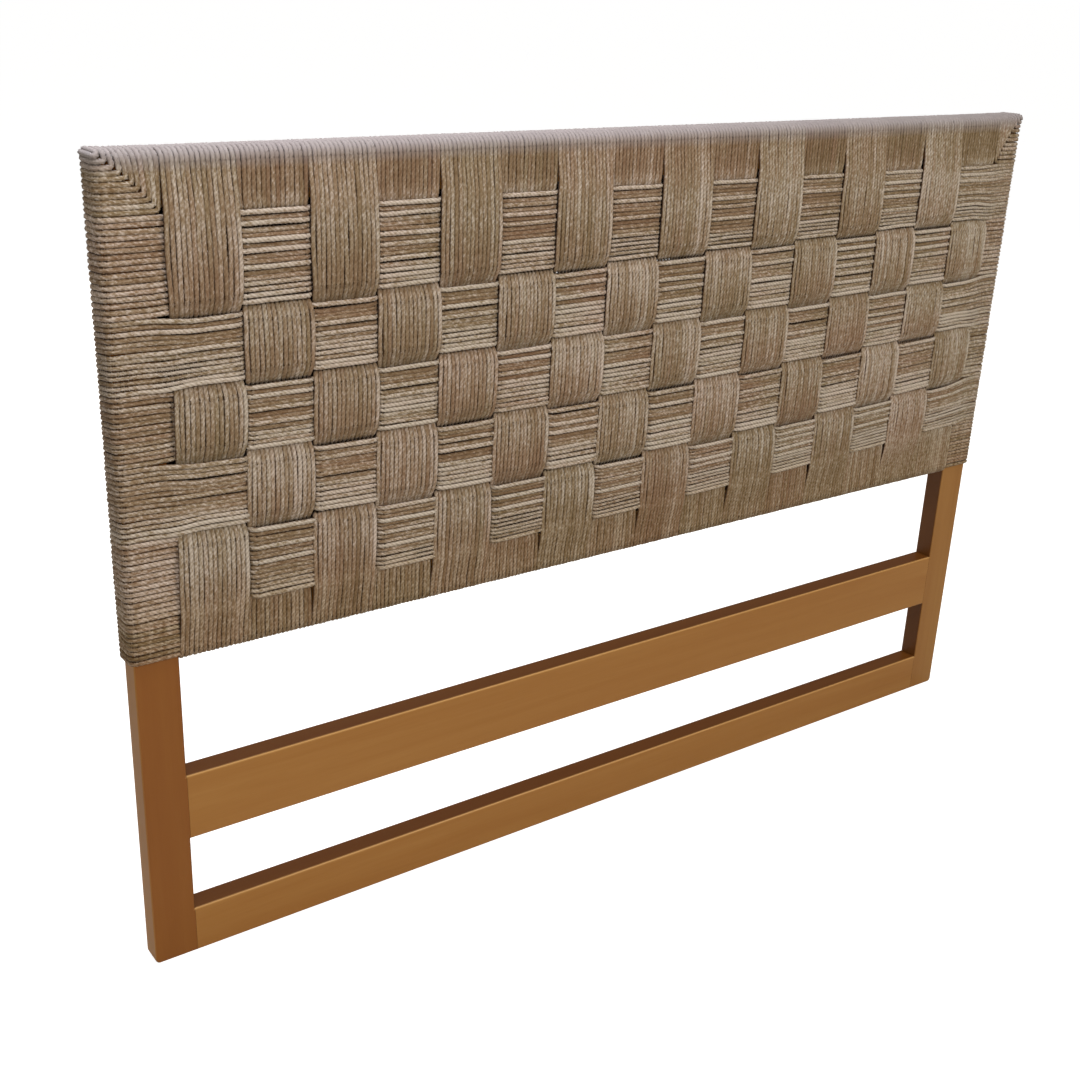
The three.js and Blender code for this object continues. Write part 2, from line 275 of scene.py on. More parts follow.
# A route through corners, each rounded, and the way outwards along it
def roundRoute(corners, faces, radii, closed):
    corners = np.array(corners, float)
    faces = np.array(faces, float)
    count = len(corners)
    route, outward = [], []
    for i in range(count):
        if not closed and i in (0, count - 1):
            route.append(corners[i : i + 1])
            outward.append(faces[min(i, count - 2)][None])
            continue
        before = corners[i - 1] - corners[i]
        after = corners[(i + 1) % count] - corners[i]
        room = cord["bendShare"] * min(np.linalg.norm(before), np.linalg.norm(after))
        reach = min(radii[i], room)
        t = np.linspace(0, 1, cord["bendPoints"])[:, None]
        inwards = unit(before) * reach * (1 - np.sin(t * math.pi / 2))
        onwards = unit(after) * reach * (1 - np.cos(t * math.pi / 2))
        route.append(corners[i] + inwards + onwards)
        outward.append(unit(faces[i - 1] * (1 - t) + faces[i] * t))
    return np.concatenate(route), np.concatenate(outward)


def evenSteps(route, outward, closed):
    # the same route with a point every step
    if closed:
        route = np.concatenate([route, route[:1]])
        outward = np.concatenate([outward, outward[:1]])
    along = lengthsAlong(route)
    keep = np.concatenate([[True], np.diff(along) > 1e-7])  # without doubled points
    places = np.linspace(0, along[-1], int(along[-1] / cord["shownStep"]) + 1)
    if closed:
        places = places[:-1]
    route = np.stack([np.interp(places, along[keep], route[keep, k]) for k in range(3)], -1)
    outward = np.stack([np.interp(places, along[keep], outward[keep, k]) for k in range(3)], -1)
    return route, unit(outward)


# Mesh of one length of plied cord along a route, turning with its plies
def plyCord(route, outward, tone, chance, closed=False, swell=1):
    rings = len(route)
    spans = rings if closed else rings - 1
    padded = np.concatenate([route[-1:], route, route[:1]]) if closed else route
    tangent = np.gradient(padded, axis=0)
    tangent = unit(tangent[1:-1] if closed else tangent)
    side = unit(np.cross(tangent, outward))
    up = np.cross(side, tangent)
    along = lengthsAlong(padded[1:] if closed else padded)
    twists = along[-1] / cord["lay"]
    if closed:  # a whole number of twists, so that the cord meets itself
        twists = round(twists)
    corners = 2 * cord["plies"]
    turn = chance.uniform(0, 1) + twists * along[:rings, None] / along[-1] + np.arange(corners) / corners
    isCrown = np.arange(corners) % 2 == 0
    shape = cord["radius"] * np.where(isCrown, 1, cord["groove"])
    reach = shape * np.broadcast_to(swell, rings)[:, None]
    points = route[:, None] + up[:, None] * (np.cos(2 * math.pi * turn) * reach)[..., None]
    points = points + side[:, None] * (np.sin(2 * math.pi * turn) * reach)[..., None]
    here = np.arange(spans)[:, None] * corners
    ahead = (np.arange(spans)[:, None] + 1) % rings * corners
    a = np.arange(corners)
    b = (a + 1) % corners
    quads = np.stack([here + a, here + b, ahead + b, ahead + a], -1).reshape(-1, 4)
    around = np.stack([a, a + 1, a + 1, a], -1) / corners + np.zeros((spans, 1, 1))
    run = np.stack([along[:spans], along[:spans], along[1 : spans + 1], along[1 : spans + 1]], -1)
    run = run[:, None] + np.zeros((1, corners, 1))
    caps = np.zeros((0, corners), int) if closed else np.stack([a[::-1], a + (rings - 1) * corners])
    return {
        "points": points.reshape(-1, 3),
        "quads": quads,
        "caps": caps,
        "places": np.stack([around, run], -1).reshape(-1, 2),
        "crown": np.tile(isCrown, rings),
        "face": np.cos(2 * math.pi * turn).ravel(),
        "tone": np.repeat(tone, corners, axis=0),
    }


def makeCordPiece(name, cords, finish, nodes):
    # one mesh from several lengths of cord, riding on the frame in place of the CAD nodes
    offsets = np.cumsum([0] + [len(c["points"]) for c in cords[:-1]])
    quads = np.concatenate([c["quads"] + offset for c, offset in zip(cords, offsets)])
    caps = np.concatenate([c["caps"] + offset for c, offset in zip(cords, offsets)])
    points = np.concatenate([c["points"] for c in cords])
    loops = np.concatenate([quads.ravel(), caps.ravel()])
    capStarts = quads.size + np.arange(len(caps)) * 2 * cord["plies"]
    starts = np.concatenate([np.arange(len(quads)) * 4, capStarts])
    mesh = bpy.data.meshes.new(name)
    mesh.vertices.add(len(points))
    mesh.vertices.foreach_set("co", points.astype(np.float32).ravel())
    mesh.loops.add(len(loops))
    mesh.loops.foreach_set("vertex_index", loops.astype(np.int32))
    mesh.polygons.add(len(starts))
    mesh.polygons.foreach_set("loop_start", starts.astype(np.int32))
    mesh.update(calc_edges=True)
    mesh.shade_smooth()
    places = np.concatenate([c["places"] for c in cords] + [np.zeros((caps.size, 2))])
    mesh.uv_layers.new(name="cordRun").uv.foreach_set("vector", places.astype(np.float32).ravel())
    tone = np.concatenate([c["tone"] for c in cords])
    marks = {
        "plyCrown": np.concatenate([c["crown"] for c in cords]),
        "cordFace": np.concatenate([c["face"] for c in cords]),
        "cordLight": tone[:, 0],
        "cordHue": tone[:, 1],
    }
    for label, values in marks.items():
        attribute = mesh.attributes.new(label, "FLOAT", "POINT")
        attribute.data.foreach_set("value", values.astype(np.float32))
    mesh.materials.append(finish)
    piece = bpy.data.objects.new(name, mesh)
    bpy.context.scene.collection.objects.link(piece)
    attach(piece, "root")
    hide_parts(*nodes)


# How far the cords differ, in steps of lightness and hue: each as a whole, and along its length with
# the distance over which that changes
toneSpread = {
    "light": 0.5,
    "lightAlong": (0.35, 60 * mm),
    "lightShared": (0.3, 120 * mm),  # with all the cords of a band
    "hue": 0.25,
    "hueAlong": (0.3, 90 * mm),
    "hueShared": (0.8, 120 * mm),
}


def toneAlong(chance, count, travel):
    # lightness and hue of each cord along its length

    def drift(label, cords):
        steps, gap = toneSpread[label]
        return steps * wander(chance, cords, travel, gap)

    light = chance.normal(0, toneSpread["light"], (count, 1)) + drift("lightAlong", count)
    hue = chance.normal(0, toneSpread["hue"], (count, 1)) + drift("hueAlong", count)
    light = light + drift("lightShared", 1)
    hue = hue + drift("hueShared", 1)
    return np.stack([light, hue], -1)


# Jute cord, spun and laid in three plies: matt, with painted shade and dirt in its grooves, painted
# shade between cords, a painted highlight along the top, painted warm shade near the lower edge, and
# fibres that fleck it
juteLook = {
    "pale": "#e4d8c9",
    "base": "#9b866b",
    "dim": "#664c33",
    "lightStep": 0.36,  # share of the way from base to pale that a step of lightness goes
    "flecks": (-0.85, 1.15),  # and the darkest and palest fibres, below 0 towards dim
    "olive": "#9c8a5e",
    "rosy": "#b58a6c",
    "tintReach": 1.2,  # steps of hue from the middle to either
    "tintShare": 0.27,  # how much of them is mixed in
    "rightward": (0.3, -1),  # steps of lightness and hue by which the right end is paler and more olive
    "groove": "#7d603d",  # painted shade and dirt between two plies
    "cordGapShade": "#4a2b0a",  # painted shade between two cords
    "topHighlight": "#aaa19f",  # painted highlight on top, where light grazes it
    "topHighlightShare": 0.85,
    "topHighlightFrom": 0.992,  # m above the floor
    "topHighlightTo": 1.012,
    "lowShade": "#eee6d8",  # painted warm shade, a tint towards the lower edge
    "lowShadeFrom": 0.53,
    "lowShadeTo": 0.47,
    "fibreWidth": 3,  # mm, tufts of fibre, since single ones are too fine to show
    "fibreLength": 8,  # mm
    "fibreDepth": 0.3,  # mm
}


def makeJute(name, look, mottle):
    jute = newMaterial(name)
    # fibres, which lie along the cord, so they are read across the plies
    run = addNode(jute, "ShaderNodeUVMap", {"uv_map": "cordRun"})
    girth = 2 * math.pi * cord["radius"] / mm
    apart = addNode(jute, "ShaderNodeSeparateXYZ", links={0: run.outputs["UV"]})
    straight = addNode(
        jute,
        "ShaderNodeMath",
        {"operation": "MULTIPLY_ADD", 1: 1 / cord["lay"]},
        {0: apart.outputs["Y"], 2: apart.outputs["X"]},
    )
    together = addNode(
        jute,
        "ShaderNodeCombineXYZ",
        links={"X": straight.outputs[0], "Y": apart.outputs["Y"]},
    )
    fibrePlaces = addNode(
        jute,
        "ShaderNodeMapping",
        {"Scale": (girth / look["fibreWidth"], 1 / (look["fibreLength"] * mm), 1)},
        {"Vector": together.outputs[0]},
    )
    fibres = addNode(
        jute,
        "ShaderNodeTexNoise",
        {"Scale": 1.0, "Detail": 4.0, "Roughness": 0.72},
        {"Vector": fibrePlaces.outputs["Vector"]},
    )
    # lightness, the cord's own and its fibres'
    light = addNode(jute, "ShaderNodeAttribute", {"attribute_name": "cordLight"})
    hue = addNode(jute, "ShaderNodeAttribute", {"attribute_name": "cordHue"})
    crown = addNode(jute, "ShaderNodeAttribute", {"attribute_name": "plyCrown"})
    darkest, palest = look["flecks"]
    flecks = addNode(
        jute,
        "ShaderNodeMapRange",
        {
            "From Min": 0.36,
            "From Max": 0.64,
            "To Min": darkest * mottle,
            "To Max": palest * mottle,
            "clamp": False,
        },
        {"Value": fibres.outputs["Fac"]},
    )
    paleness = addNode(
        jute,
        "ShaderNodeMath",
        {"operation": "MULTIPLY_ADD", 1: look["lightStep"]},
        {0: light.outputs["Fac"], 2: flecks.outputs[0]},
    )
    brightened = addNode(
        jute,
        "ShaderNodeMix",
        {"data_type": "RGBA", 6: colour(look["base"]), 7: colour(look["pale"])},
        {0: paleness.outputs[0]},
    )
    dimness = addNode(
        jute,
        "ShaderNodeMapRange",
        {"From Min": 0.0, "From Max": -1.0},
        {"Value": paleness.outputs[0]},
    )
    body = addNode(
        jute,
        "ShaderNodeMix",
        {"data_type": "RGBA", 7: colour(look["dim"])},
        {0: dimness.outputs[0], 6: brightened.outputs[2]},
    )
    tint = addNode(
        jute,
        "ShaderNodeMapRange",
        {"From Min": -look["tintReach"], "From Max": look["tintReach"]},
        {"Value": hue.outputs["Fac"]},
    )
    patches = addNode(
        jute,
        "ShaderNodeMix",
        {"data_type": "RGBA", 6: colour(look["olive"]), 7: colour(look["rosy"])},
        {0: tint.outputs[0]},
    )
    tinted = addNode(
        jute,
        "ShaderNodeMix",
        {"data_type": "RGBA", 0: look["tintShare"]},
        {6: body.outputs[2], 7: patches.outputs[2]},
    )
    # painted shade and dirt in the grooves between plies
    depth = addNode(
        jute,
        "ShaderNodeMapRange",
        {"From Min": -1.0, "From Max": 0.75},
        {"Value": crown.outputs["Fac"]},
    )
    shaded = addNode(
        jute,
        "ShaderNodeMix",
        {"data_type": "RGBA", 6: colour(look["groove"])},
        {0: depth.outputs[0], 7: tinted.outputs[2]},
    )
    # painted shade on the sides of each cord, between it and its neighbours
    face = addNode(jute, "ShaderNodeAttribute", {"attribute_name": "cordFace"})
    outwards = addNode(
        jute,
        "ShaderNodeMapRange",
        {"interpolation_type": "SMOOTHSTEP", "From Min": -0.1, "From Max": 0.6},
        {"Value": face.outputs["Fac"]},
    )
    gapShaded = addNode(
        jute,
        "ShaderNodeMix",
        {"data_type": "RGBA", 6: colour(look["cordGapShade"])},
        {0: outwards.outputs[0], 7: shaded.outputs[2]},
    )
    # painted highlight on top and painted warm shade near the lower edge, by height
    place = addNode(jute, "ShaderNodeTexCoord")
    height = addNode(jute, "ShaderNodeSeparateXYZ", links={0: place.outputs["Object"]})
    topHighlightMask = addNode(
        jute,
        "ShaderNodeMapRange",
        {"From Min": look["topHighlightFrom"], "From Max": look["topHighlightTo"], "To Max": look["topHighlightShare"]},
        {"Value": height.outputs["Z"]},
    )
    topHighlight = addNode(
        jute,
        "ShaderNodeMix",
        {"data_type": "RGBA", 7: colour(look["topHighlight"])},
        {0: topHighlightMask.outputs[0], 6: gapShaded.outputs[2]},
    )
    # painted warm shade, darkening the cord towards the lower edge
    lowering = addNode(
        jute,
        "ShaderNodeMapRange",
        {"From Min": look["lowShadeFrom"], "From Max": look["lowShadeTo"]},
        {"Value": height.outputs["Z"]},
    )
    lowShaded = addNode(
        jute,
        "ShaderNodeMix",
        {"data_type": "RGBA", "blend_type": "MULTIPLY", 7: colour(look["lowShade"])},
        {0: lowering.outputs[0], 6: topHighlight.outputs[2]},
    )
    bump = addNode(
        jute,
        "ShaderNodeBump",
        {"Strength": 0.6, "Distance": look["fibreDepth"] * mm},
        {"Height": fibres.outputs["Fac"]},
    )
    surface = addNode(
        jute,
        "ShaderNodeBsdfPrincipled",
        {
            "Roughness": 0.8,
            "Specular IOR Level": 0.2,
            "Sheen Weight": 0.08,
            "Sheen Roughness": 0.5,
        },
        {"Base Color": lowShaded.outputs[2], "Normal": bump.outputs[0]},
    )
    addNode(jute, "ShaderNodeOutputMaterial", links={"Surface": surface.outputs[0]})
    return jute


# the upright bands are drawn tighter, which lays their fibres down
warpJute = makeJute("jute_cord_upright", juteLook, mottle=0.65)
weftJute = makeJute("jute_cord_level", juteLook, mottle=1)

# Upright bands
warp = {
    "seed": 100,
    "squeeze": 0.93,  # spacing of the cords where they pass under, as a share
    "drawIn": 14 * mm,  # half the height in which they draw together
    "pillow": 2 * mm,  # rise in the middle of a stretch that passes over
    "edgeDrop": 0.6,  # share of it that the edge cords lack
    "barrel": 1.4 * mm,  # how far the edge cords of that stretch bow out
    "sway": 0.3 * mm,  # unevenness from side to side
    "lift": 0.35 * mm,  # and in depth
    "swayLength": 45 * mm,
    "railShade": -1.5,  # painted shade: steps by which a band is darker on the rail where it then passes under and lies recessed
    "edgeHighlight": 1.8,  # painted highlight: by which the last cord of a band is paler where it passes over
    "evenTone": 0.15,  # steps by which all of them are paler, everywhere
    "slopeShading": (1.4, -0.9),  # painted highlight and shade: steps of lightness and hue from the middle of a stretch to its top, paler and more olive above, darker and rosier below
    "fatten": 0.13,  # how much thicker the cords are where they turn over, as a share
    "fattenReach": 9 * mm,
    "backFatten": 0.1,  # and how much thicker on the back, where they pass under
    "shoulder": 26 * mm,  # height over which an upper end leaves the rail
    "footing": 24 * mm,  # and a lower end comes down to it
}


def warpLevels(lines, isOver, z):
    # a band turns over a little inside its stretches, and more slowly where it leaves a rail
    turns = list(lines)
    for line in range(1, rowCount):
        turns[line] = turns[line] + weave["warpInside"] * (1 if isOver[line] else -1)
    widths = [weave["warpTurn"]] * len(turns)
    if isOver[-1]:
        turns[-1] = turns[-1] + warp["shoulder"]
        widths[-1] = 2 * warp["shoulder"]
    if isOver[0]:
        turns[0] = turns[0] - warp["footing"]
        widths[0] = 2 * warp["footing"]
    return acrossCells(levelsAcross(isOver), turns, z, widths)


def overStretches(lines, isOver, z):
    # for each stretch that passes over: 1 in its middle, and from below 0 to above it up its height
    bulge = 0 * (lines[0] + z)
    shadingSlope = bulge
    for cell in range(rowCount):
        if isOver[cell]:
            t = np.clip((z - lines[cell]) / (lines[cell + 1] - lines[cell]), 0, 1)
            bulge = bulge + np.sin(math.pi * t)
            shadingSlope = shadingSlope + np.sin(math.pi * t) * (2 * t - 1)
    return bulge, shadingSlope


def windWarp(band):
    chance = np.random.default_rng(warp["seed"] + band)
    count = weave["cordsPerBand"]
    middle = (bandEdges[band] + bandEdges[band + 1]) / 2
    offset = (np.arange(count) - (count - 1) / 2)[:, None]
    # the lines between rows, from the lowest up, at the height where each cord meets them
    places = middle + offset * bandWidth / count
    lines = [lineHeight(line, places) for line in range(rowCount, -1, -1)]
    heights = [float(line.mean()) for line in lines]
    isOver = [isWarpOver(band, row) for row in range(rowCount - 1, -1, -1)]

    def isShown(z):
        cell = int(np.searchsorted(heights, z))
        return cell in (0, rowCount + 1) or isOver[cell - 1]

    low, high = weaveRailLow.z, woodTop
    steps = stepsAlong(low + cord["bend"], high - cord["topBend"], isShown)
    z, y, outZ, outY, part = turnRound(steps, low, high, cord["topBend"])
    travel = lengthsAlong(np.stack([z, y], -1))
    for line in range(1, rowCount):
        lines[line] = lines[line] - weave["backBelow"] * (part == alongBack)
    level = warpLevels(lines, isOver, z)
    bulge, shadingSlope = overStretches(lines, isOver, z)
    onRail = smooth((z - lines[-1]) / weave["warpTurn"])

    # from side to side
    squeezes = [1.0] + [1.0 if over else warp["squeeze"] for over in isOver] + [1.0]
    squeeze = acrossCells(np.array([squeezes]), lines, z, 2 * warp["drawIn"])
    edgeShare = offset / offset.max()
    left, right = sideAt(band, z), sideAt(band + 1, z)
    spacing = (right - left) / count
    sway = warp["sway"] * wander(chance, count, travel, warp["swayLength"])
    lateral = offset * spacing * squeeze + warp["barrel"] * bulge * edgeShare**3 + sway
    # half a cord's step to the side before and after, on the underside, joins each turn to the next
    under = np.clip(y / (woodFace - cord["bend"]), -1, 1)
    ends = [part == lowStart, part == lowEnd]
    lateral = lateral + spacing * np.select(ends, [-0.5 * (1 + under), 0.5 * (1 - under)], 0)
    centre = (left + right) / 2 + weave["backAside"] * backShare(y)

    # in depth
    lift = warp["lift"] * wander(chance, count, travel, warp["swayLength"])
    level = level + warp["pillow"] * bulge * (1 - warp["edgeDrop"] * edgeShare**4)
    level = level + lift * np.maximum(bulge, onRail * np.abs(outY))

    tone = toneAlong(chance, count, travel)
    # painted shade on the rail, where a band then passes under
    tone[..., 0] += warp["railShade"] * (0 if isOver[-1] else 1) * onRail
    # painted highlight on the last cord of a stretch that passes over
    tone[-1, :, 0] += warp["edgeHighlight"] * bulge[-1]
    tone[..., 0] += warp["evenTone"]
    # painted highlight on the upper half of each stretch that passes over, and painted shade on its
    # lower half
    tone = tone + shadingSlope[..., None] * np.array(warp["slopeShading"])
    tone = tone + max(0, middle / postInner) * np.array(juteLook["rightward"])
    nearLine = sum(np.exp(-(((z - line) / warp["fattenReach"]) ** 2)) for line in lines)
    girth = 1 + warp["fatten"] * nearLine + warp["backFatten"] * (part == alongBack) * (1 - bulge)

    route = np.stack([centre + lateral, y + outY * level, z + outZ * level], -1)
    outward = np.stack([0 * z, outY, outZ], -1) + np.zeros((count, 1, 1))
    parts = (route.reshape(-1, 3), outward.reshape(-1, 3), tone.reshape(-1, 2))
    wound = plyCord(*parts, chance, swell=girth.ravel())
    number = f"{band + 1:02d}"
    makeCordPiece("warp_cord_" + number, [wound], warpJute, ["warp_" + number])


for band in range(weave["bands"]):
    windWarp(band)
print("upright bands wound")

# Level rows
weft = {
    "seed": 200,
    "startBand": 2,  # band that a turn's ends lie behind, and the next one for every second row
    "proudEvery": (2, 5),  # from one cord that stands out to the next, at least 2 and fewer than 5
    "proud": 1.3 * mm,  # how far it stands out
    "recess": 0.8 * mm,  # and how far the ones between sink in
    "uneven": 0.4 * mm,
    "calmCords": (4, 8),  # at the bottom of a cell, level with each other, from 4 to fewer than 8
    "proudGirth": 0.98,  # as a share
    "sunkenGirth": 1,
    "calmGirth": 0.93,
    "backFatten": 0.1,  # how much thicker all but the proud ones are on the back, as a share
    "fullSpacing": 5.9 * mm,  # spacing above which the cords lie looser and look thicker
    "fullest": 1.15,  # the most that they do, as a share
    "press": 5.2 * mm,  # distance at which two cords touch
    "spareShares": (3, 0.4, 1.3),  # of the room to spare, below a proud, a sunken and a calm cord
    "spareSpread": (0.6, 1.4),  # by which those differ
    "calmTone": 1.4,  # steps by which the calm cords are paler
    "topTone": -0.3,  # and the others darker
    "toneDepth": 0.75 * mm,  # painted highlight: standing out by this much makes a cord paler by one step
    "sunkenShare": 0.6,  # share of that by which a sunken cord is darker, as painted shade
    "hueShare": -0.25,  # hue that goes with a step of lightness
    "onPost": 0.4,  # how much of all these differences is left on the posts, as a share
    "flat": 0.7,  # share of the depths that is lost round the posts' outer sides
    "postTurn": 45 * mm,  # width in which a row comes down from its last band to the post
    "settle": 41 * mm,  # how far inside a post a row starts to spread
    "closing": 11 * mm,  # how far onto the post the gap to the next row closes
    "cellTurn": 22 * mm,  # width in which the cords move over between two cells
    "sway": 0.3 * mm,
    "swayLength": 50 * mm,
    "stepDown": 30 * mm,  # half the width in which a turn steps down to the next
}


def packCell(chance, count, room, strength=1):
    # depths, girths, places and tones of a row's cords in one cell: proud ones with sunken ones between
    isProud = np.zeros(count, bool)
    at = 0
    while at < count:
        isProud[at] = True
        at += chance.integers(*weft["proudEvery"])
    calm = count - chance.integers(*weft["calmCords"])
    depth = np.where(isProud, weft["proud"], -weft["recess"])
    depth[calm:] = 0
    depth[-1] = weft["proud"] / 2
    kinds = [depth > 0, depth < 0]
    girth = np.select(kinds, [weft["proudGirth"], weft["sunkenGirth"]], weft["calmGirth"])
    proudShare, sunkenShare, calmShare = weft["spareShares"]
    pull = chance.uniform(*weft["spareSpread"], count)
    pull = pull * np.select(kinds, [proudShare, sunkenShare], calmShare)
    pull = pull[:-1] / pull[:-1].sum()
    depth = strength * (depth + chance.normal(0, weft["uneven"], count))
    girth = 1 + strength * (girth - 1)
    # painted highlight on the proud cords and painted shade on the sunken ones, by their depth
    tone = np.maximum(depth, weft["sunkenShare"] * depth) / weft["toneDepth"]
    tone = tone + strength * np.where(np.arange(count) < calm, weft["topTone"], weft["calmTone"])
    touch = np.sqrt(weft["press"] ** 2 - np.minimum(np.diff(depth) ** 2, weft["press"] ** 2 / 2))
    place = np.concatenate([[0], np.cumsum(touch + pull * (room - touch.sum()))])
    return depth, girth, place / place[-1], tone


def packFace(chance, isOver, room, count):
    # the same for the posts and every band across one face, as arrays (cord, cell)
    flat = (np.zeros(count), np.ones(count), np.linspace(0, 1, count), np.zeros(count))
    cells = [packCell(chance, count, room) if over else flat for over in isOver]
    for end, at in ((0, 0), (-1, len(cells) + 1)):
        onPost = packCell(chance, count, room, weft["onPost"])
        if isOver[end]:  # the row runs on over the post as it lies in its last cell
            depth, girth, place, tone = cells[end]
            onPost = (weft["onPost"] * depth, girth, place, weft["onPost"] * tone)
        cells.insert(at, onPost)
    return [np.array(values).T for values in zip(*cells)]


def weftTurns(isOver):
    # where a row turns over between its cells, and the widths in which it does
    edges = bandEdges.copy()
    for edge in range(1, len(isOver)):
        edges[edge] += weave["weftRise"] if isOver[edge] else -weave["weftDip"]
    widths = np.full(len(edges), weave["weftTurn"])
    for end, side in ((0, -1), (-1, 1)):
        if isOver[end]:
            edges[end] = side * (postInner + weft["postTurn"] / 4)
            widths[end] = weft["postTurn"]
    return edges, widths


def rowLimits(row, x, y):
    # the lines above and below a row, which lie lower on the back, apart from the panel's own
    lower = weave["backBelow"] * backShare(y)
    top = lineHeight(row, x) - (lower if row else 0)
    bottom = lineHeight(row + 1, x) - (lower if row < rowCount - 1 else 0)
    return top, bottom


def rowHeights(row, x, top, bottom, share):
    # the cords are gathered in the panel, with gaps between the rows, and spread evenly on the posts
    count = len(share)
    half = weave["rowGap"] / 2
    gatheredTop = top - (half if row else 0) - cord["radius"]
    gatheredBottom = bottom + (half if row < rowCount - 1 else 0) + cord["radius"]
    gathered = gatheredTop + (gatheredBottom - gatheredTop) * share
    onPost = top + (bottom - top) * (np.arange(count)[:, None] + 0.5) / count
    reach = weft["settle"] + weft["closing"]
    toPost = smooth((np.abs(x) - postInner + weft["settle"]) / reach)
    return gathered * (1 - toPost) + onPost * toPost


def stepTurns(height, apart, spacing):
    # near its ends each turn moves half a cord's step up or down, which joins it to the next
    near = 0.5 * (1 - smooth(apart / weft["stepDown"]))
    places = height.shape[1]
    isLeaving = np.arange(places) < places // 2
    toNext = np.concatenate([np.diff(height, axis=0), np.full((1, places), -spacing)])
    toLast = np.concatenate([np.full((1, places), spacing), -np.diff(height, axis=0)])
    return height + np.where(isLeaving, toLast, toNext) * near


def windWeft(row):
    chance = np.random.default_rng(weft["seed"] + row)
    count = weave["cordsPerRow"][row]
    isOver = [not isWarpOver(band, row) for band in range(weave["bands"])]

    def isShown(x):
        for place in (x, x - weave["backAside"]):
            cell = int(np.searchsorted(bandEdges, place)) - 1
            if cell < 0 or cell >= len(isOver) or isOver[cell]:
                return True
        return False

    low, high = -postOuter, postOuter
    steps = stepsAlong(low + cord["bend"], high - cord["bend"], isShown)
    turn = turnRound(steps, low, high, cord["bend"])
    # a turn starts and ends behind an upright band on the back, where it steps down to the next
    hidden = weft["startBand"] + row % 2
    behind = (bandEdges[hidden] + bandEdges[hidden + 1]) / 2
    apart = np.where(turn[4] == alongBack, np.abs(turn[0] - behind), postOuter)
    start = int(np.argmin(apart))
    apart = np.roll(apart, -start)
    x, y, outX, outY, part = np.roll(turn, -start, axis=1)
    travel = lengthsAlong(np.stack([x, y], -1))
    isBack = part == alongBack
    at = x - np.where(isBack, weave["backAside"], 0)  # place across as it counts in the weave

    edges, turns = weftTurns(isOver)
    level = acrossCells(levelsAcross(isOver), edges, at, turns)
    spacing = (lineHeight(row, 0.0) - lineHeight(row + 1, 0.0)) / count
    faces = [packFace(chance, isOver, (count - 1) * spacing, count) for face in ("front", "back")]
    widths = (turns, turns, weft["cellTurn"], turns)
    depth, girth, share, lightness = (
        np.where(isBack, acrossCells(back, edges, at, width), acrossCells(front, edges, at, width))
        for front, back, width in zip(*faces, widths)
    )
    top, bottom = rowLimits(row, x, y)
    height = rowHeights(row, x, top, bottom, share)
    height = height + weft["sway"] * wander(chance, count, travel, weft["swayLength"])
    height = stepTurns(height, apart, spacing)
    girth = girth * np.clip((top - bottom) / count / weft["fullSpacing"], 1, weft["fullest"])
    girth = girth + weft["backFatten"] * isBack * (depth <= 0)
    tone = toneAlong(chance, count, travel)
    tone = tone + lightness[..., None] * np.array([1, weft["hueShare"]])
    tone = tone + np.clip(x / postInner, 0, 1)[:, None] * np.array(juteLook["rightward"])

    rise = level + depth * (1 - weft["flat"] * np.abs(outX))
    route = np.stack([x + outX * rise, y + outY * rise, height], -1)
    outward = np.stack([outX, outY, 0 * x], -1) + np.zeros((count, 1, 1))
    parts = (route.reshape(-1, 3), outward.reshape(-1, 3), tone.reshape(-1, 2))
    wound = plyCord(*parts, chance, swell=girth.ravel())
    makeCordPiece(f"weft_cord_{row + 1}", [wound], weftJute, [f"weft_{row + 1}"])


for row in range(rowCount):
    windWeft(row)
print("level rows woven")

# Mitred turns at the top corners, each level on the post and upright on the rail
corner = {
    "seed": 300,
    "turns": 11,
    "nearest": 3.0 * mm,  # first turn's middle outside the panel's edge
    "outermost": 0.5 * mm,  # last turn's middle inside the wood's outer edges
    "mitreBend": 3.4 * mm,
    "lean": 5 * mm,  # how far the middle uprights lean from the panel towards the post as they rise
    "jitter": 0.3 * mm,
    "swell": 1.1,  # girth, as a share, so that no wood shows between the turns
}


def windCorner(name, sign, panelEdge):
    chance = np.random.default_rng(corner["seed"] + sign)
    outer = sign * cordSide
    mitre = corner["mitreBend"]
    radii = (cordArris, mitre, cordTopArris, cordTopArris, mitre, cordArris)
    faces = [(0, -1, 0), (0, -1, 0), (0, 0, 1), (0, 1, 0), (0, 1, 0), (sign, 0, 0)]
    lowest = lineHeight(0, panelEdge) + corner["nearest"]
    cords = []
    for t in np.linspace(0, 1, corner["turns"]):
        x = (abs(panelEdge) + corner["nearest"]) * (1 - t) + (postOuter - corner["outermost"]) * t
        over = sign * (x + chance.normal(0, corner["jitter"]))
        x = over - sign * corner["lean"] * 4 * t * (1 - t)  # most in the middle
        aside = weave["backAside"] * (1 - t)
        z = lowest * (1 - t) + (woodTop - corner["outermost"]) * t
        z = z + chance.normal(0, corner["jitter"])
        depth = abs(chance.normal(0, corner["jitter"]))
        near, far = -cordDepth - depth, cordDepth + depth
        corners = [(outer, near, z), (x, near, z), (over, near, cordTop)]
        corners += [(over + aside, far, cordTop), (x + aside, far, z), (outer, far, z)]
        route, outward = roundRoute(corners, faces, radii, True)
        route, outward = evenSteps(route, outward, True)
        tone = toneAlong(chance, 1, lengthsAlong(route))[0]
        cords.append(plyCord(route, outward, tone, chance, True, corner["swell"]))
    nodes = [name + "_corner_side_wrap", name + "_corner_top_wrap"]
    makeCordPiece(name + "_corner_cord", cords, weftJute, nodes)


windCorner("left", -1, bandEdges[0])
windCorner("right", 1, bandEdges[-1])

# Turns on the posts below the last row
tail = {
    "seed": 310,
    "spacing": 5.7 * mm,
    "jitter": 0.35 * mm,
    "slackTurns": 2,  # last turns, which have come loose
    "slackDrop": 0.5 * mm,
    "raised": 6.5 * mm,  # how far above the underside of the panel they end
    "inset": 0.3 * mm,  # gap to the side of the panel
}


